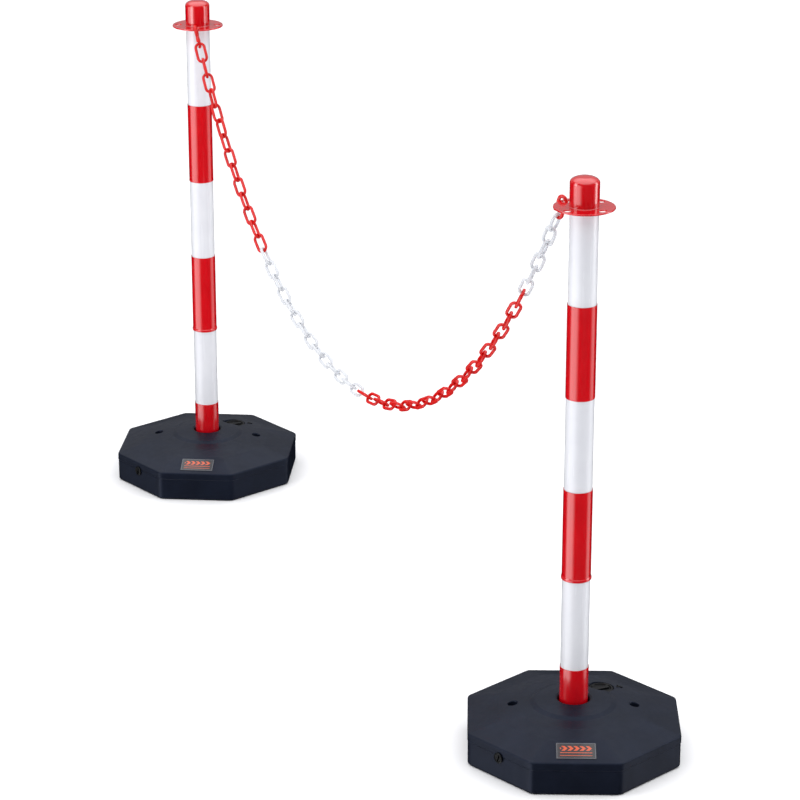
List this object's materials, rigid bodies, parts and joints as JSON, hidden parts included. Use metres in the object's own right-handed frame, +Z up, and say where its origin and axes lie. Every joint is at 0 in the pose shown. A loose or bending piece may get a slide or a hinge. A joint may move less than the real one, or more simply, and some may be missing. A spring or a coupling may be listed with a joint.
{
  "type": "plastic chain stanchion",
  "caption": "Two banded plastic barrier posts on octagonal fillable bases, joined by a hanging plastic chain on hooks through the top flanges.",
  "frame": {"origin": "centre of the two posts' footprint on the floor, midway between the posts", "axes": "+X from the first post (a) to the second post (b) along the chain, +Y across the chain, +Z up; stated in metres"},
  "size_m": [1.5102, 0.3187, 0.8206],
  "materials": {
    "red gloss sleeve": "gloss",
    "white gloss tube": "gloss",
    "black tank": "satin",
    "red chain": "satin",
    "white chain": "satin",
    "seal": "matte",
    "plug": "satin",
    "label": "satin"
  },
  "bodies": {
    "base_a": {"base_shell_a": "black tank", "label_plate_a": "label"},
    "fill_cap_a": {"fill_cap_a": "plug", "fill_cap_seal_a": "seal"},
    "drain_plug_a": {"drain_plug_a": "plug"},
    "lower_post_a": {"lower_tube_a": "white gloss tube", "socket_sleeve_a": "red gloss sleeve", "tube_coupler_a": "plug"},
    "upper_post_a": {"upper_tube_a": "white gloss tube", "middle_sleeve_a": "red gloss sleeve", "top_sleeve_a": "red gloss sleeve"},
    "cap_a": {"top_cap_a": "red gloss sleeve"},
    "hook_a": {"s_hook_a": "red chain"},
    "base_b": {"base_shell_b": "black tank", "label_plate_b": "label"},
    "fill_cap_b": {"fill_cap_b": "plug", "fill_cap_seal_b": "seal"},
    "drain_plug_b": {"drain_plug_b": "plug"},
    "lower_post_b": {"lower_tube_b": "white gloss tube", "socket_sleeve_b": "red gloss sleeve", "tube_coupler_b": "plug"},
    "upper_post_b": {"upper_tube_b": "white gloss tube", "middle_sleeve_b": "red gloss sleeve", "top_sleeve_b": "red gloss sleeve"},
    "cap_b": {"top_cap_b": "red gloss sleeve"},
    "hook_b": {"s_hook_b": "red chain"},
    "chain_a1": {"chain_links_00": "red chain", "chain_links_01": "red chain", "chain_links_02": "red chain"},
    "chain_a2": {"chain_links_03": "red chain", "chain_links_04": "red chain"},
    "chain_a3": {"chain_links_05": "red chain", "chain_links_06": "red chain"},
    "chain_a4": {"chain_links_07": "white chain", "chain_links_08": "white chain"},
    "chain_a5": {"chain_links_09": "white chain", "chain_links_10": "white chain"},
    "chain_a6": {"chain_links_11": "white chain"},
    "chain_a7": {"chain_links_12": "white chain"},
    "chain_a8": {"chain_links_13": "white chain"},
    "chain_b1": {"chain_links_27": "white chain", "chain_links_26": "white chain", "chain_links_25": "white chain"},
    "chain_b2": {"chain_links_24": "red chain", "chain_links_23": "red chain"},
    "chain_b3": {"chain_links_22": "red chain", "chain_links_21": "red chain"},
    "chain_b4": {"chain_links_20": "red chain", "chain_links_19": "red chain"},
    "chain_b5": {"chain_links_18": "red chain", "chain_links_17": "red chain"},
    "chain_b6": {"chain_links_16": "red chain"},
    "chain_b7": {"chain_links_15": "red chain"},
    "chain_b8": {"chain_links_14": "red chain"}
  },
  "joints": [
    {"name": "post_spacing", "type": "slide", "parent": "base_a", "child": "base_b", "axis": [1, 0, 0], "range_m": [-0.05, 0.01]},
    {"name": "fill_cap_a_lift", "type": "slide", "parent": "base_a", "child": "fill_cap_a", "axis": [0, 0, 1], "range_m": [0, 0.03]},
    {"name": "drain_plug_a_pull", "type": "slide", "parent": "base_a", "child": "drain_plug_a", "axis": [0.2028, -0.9792, 0], "range_m": [0, 0.02]},
    {"name": "post_a_lift", "type": "slide", "parent": "base_a", "child": "lower_post_a", "axis": [0, 0, 1], "range_m": [0, 0.08]},
    {"name": "upper_post_a_lift", "type": "slide", "parent": "lower_post_a", "child": "upper_post_a", "axis": [0, 0, 1], "range_m": [0, 0.045]},
    {"name": "cap_a_lift", "type": "slide", "parent": "upper_post_a", "child": "cap_a", "axis": [0, 0, 1], "range_m": [0, 0.035]},
    {"name": "hook_a_swing", "type": "hinge", "parent": "cap_a", "child": "hook_a", "pos_m": [-0.56681, -0.01447, 0.7793], "axis": [1, 0, 0], "range_deg": [-20, 20]},
    {"name": "fill_cap_b_lift", "type": "slide", "parent": "base_b", "child": "fill_cap_b", "axis": [0, 0, 1], "range_m": [0, 0.03]},
    {"name": "drain_plug_b_pull", "type": "slide", "parent": "base_b", "child": "drain_plug_b", "axis": [0.2571, -0.9664, 0], "range_m": [0, 0.02]},
    {"name": "post_b_lift", "type": "slide", "parent": "base_b", "child": "lower_post_b", "axis": [0, 0, 1], "range_m": [0, 0.08]},
    {"name": "upper_post_b_lift", "type": "slide", "parent": "lower_post_b", "child": "upper_post_b", "axis": [0, 0, 1], "range_m": [0, 0.045]},
    {"name": "cap_b_lift", "type": "slide", "parent": "upper_post_b", "child": "cap_b", "axis": [0, 0, 1], "range_m": [0, 0.035]},
    {"name": "hook_b_swing", "type": "hinge", "parent": "cap_b", "child": "hook_b", "pos_m": [0.5633, -0.01447, 0.7793], "axis": [1, 0, 0], "range_deg": [-20, 20]},
    {"name": "chain_a1_turn", "type": "hinge", "parent": "hook_a", "child": "chain_a1", "pos_m": [-0.55488, -0.01447, 0.75687], "axis": [0, 1, 0], "range_deg": [-1.39, 4.95]},
    {"name": "chain_a2_turn", "type": "hinge", "parent": "chain_a1", "child": "chain_a2", "pos_m": [-0.47038, -0.01447, 0.62534], "axis": [0, 1, 0], "range_deg": [-1.21, 0.64]},
    {"name": "chain_a3_turn", "type": "hinge", "parent": "chain_a2", "child": "chain_a3", "pos_m": [-0.40517, -0.01447, 0.54402], "axis": [0, 1, 0], "range_deg": [-1.04, 0.61]},
    {"name": "chain_a4_turn", "type": "hinge", "parent": "chain_a3", "child": "chain_a4", "pos_m": [-0.33137, -0.01447, 0.47044], "axis": [0, 1, 0], "range_deg": [-1.13, 0.63]},
    {"name": "chain_a5_turn", "type": "hinge", "parent": "chain_a4", "child": "chain_a5", "pos_m": [-0.24792, -0.01447, 0.40808], "axis": [0, 1, 0], "range_deg": [-1.24, 0.65]},
    {"name": "chain_a6_turn", "type": "hinge", "parent": "chain_a5", "child": "chain_a6", "pos_m": [-0.15472, -0.01447, 0.36169], "axis": [0, 1, 0], "range_deg": [-0.96, 0.59]},
    {"name": "chain_a7_turn", "type": "hinge", "parent": "chain_a6", "child": "chain_a7", "pos_m": [-0.10498, -0.01447, 0.34617], "axis": [0, 1, 0], "range_deg": [-1.02, 0.6]},
    {"name": "chain_a8_turn", "type": "hinge", "parent": "chain_a7", "child": "chain_a8", "pos_m": [-0.05376, -0.01447, 0.33659], "axis": [0, 1, 0], "range_deg": [-1.06, 0.61]},
    {"name": "chain_b1_turn", "type": "hinge", "parent": "hook_b", "child": "chain_b1", "pos_m": [0.55138, -0.01447, 0.75687], "axis": [0, 1, 0], "range_deg": [-4.95, 1.39]},
    {"name": "chain_b2_turn", "type": "hinge", "parent": "chain_b1", "child": "chain_b2", "pos_m": [0.46688, -0.01447, 0.62534], "axis": [0, 1, 0], "range_deg": [-0.64, 1.21]},
    {"name": "chain_b3_turn", "type": "hinge", "parent": "chain_b2", "child": "chain_b3", "pos_m": [0.40166, -0.01447, 0.54402], "axis": [0, 1, 0], "range_deg": [-0.61, 1.04]},
    {"name": "chain_b4_turn", "type": "hinge", "parent": "chain_b3", "child": "chain_b4", "pos_m": [0.32786, -0.01447, 0.47044], "axis": [0, 1, 0], "range_deg": [-0.63, 1.13]},
    {"name": "chain_b5_turn", "type": "hinge", "parent": "chain_b4", "child": "chain_b5", "pos_m": [0.24442, -0.01447, 0.40808], "axis": [0, 1, 0], "range_deg": [-0.65, 1.24]},
    {"name": "chain_b6_turn", "type": "hinge", "parent": "chain_b5", "child": "chain_b6", "pos_m": [0.15122, -0.01447, 0.36169], "axis": [0, 1, 0], "range_deg": [-0.59, 0.96]},
    {"name": "chain_b7_turn", "type": "hinge", "parent": "chain_b6", "child": "chain_b7", "pos_m": [0.10147, -0.01447, 0.34617], "axis": [0, 1, 0], "range_deg": [-0.6, 1.02]},
    {"name": "chain_b8_turn", "type": "hinge", "parent": "chain_b7", "child": "chain_b8", "pos_m": [0.05025, -0.01447, 0.33659], "axis": [0, 1, 0], "range_deg": [-0.61, 1.06]}
  ],
  "couplings": [
    {"joint": "post_b_lift", "follows": "post_a_lift", "ratio": 1},
    {"joint": "upper_post_b_lift", "follows": "upper_post_a_lift", "ratio": 1},
    {"joint": "cap_b_lift", "follows": "cap_a_lift", "ratio": 1},
    {"joint": "hook_b_swing", "follows": "hook_a_swing", "ratio": 1},
    {"joint": "chain_a1_turn", "follows": "post_spacing", "rad_per_m": -1.5546},
    {"joint": "chain_a2_turn", "follows": "post_spacing", "rad_per_m": 0.2495},
    {"joint": "chain_a3_turn", "follows": "post_spacing", "rad_per_m": 0.1886},
    {"joint": "chain_a4_turn", "follows": "post_spacing", "rad_per_m": 0.2196},
    {"joint": "chain_a5_turn", "follows": "post_spacing", "rad_per_m": 0.2592},
    {"joint": "chain_a6_turn", "follows": "post_spacing", "rad_per_m": 0.1606},
    {"joint": "chain_a7_turn", "follows": "post_spacing", "rad_per_m": 0.1827},
    {"joint": "chain_a8_turn", "follows": "post_spacing", "rad_per_m": 0.1948},
    {"joint": "chain_b1_turn", "follows": "post_spacing", "rad_per_m": 1.5546},
    {"joint": "chain_b2_turn", "follows": "post_spacing", "rad_per_m": -0.2495},
    {"joint": "chain_b3_turn", "follows": "post_spacing", "rad_per_m": -0.1886},
    {"joint": "chain_b4_turn", "follows": "post_spacing", "rad_per_m": -0.2196},
    {"joint": "chain_b5_turn", "follows": "post_spacing", "rad_per_m": -0.2592},
    {"joint": "chain_b6_turn", "follows": "post_spacing", "rad_per_m": -0.1606},
    {"joint": "chain_b7_turn", "follows": "post_spacing", "rad_per_m": -0.1827},
    {"joint": "chain_b8_turn", "follows": "post_spacing", "rad_per_m": -0.1948}
  ]
}
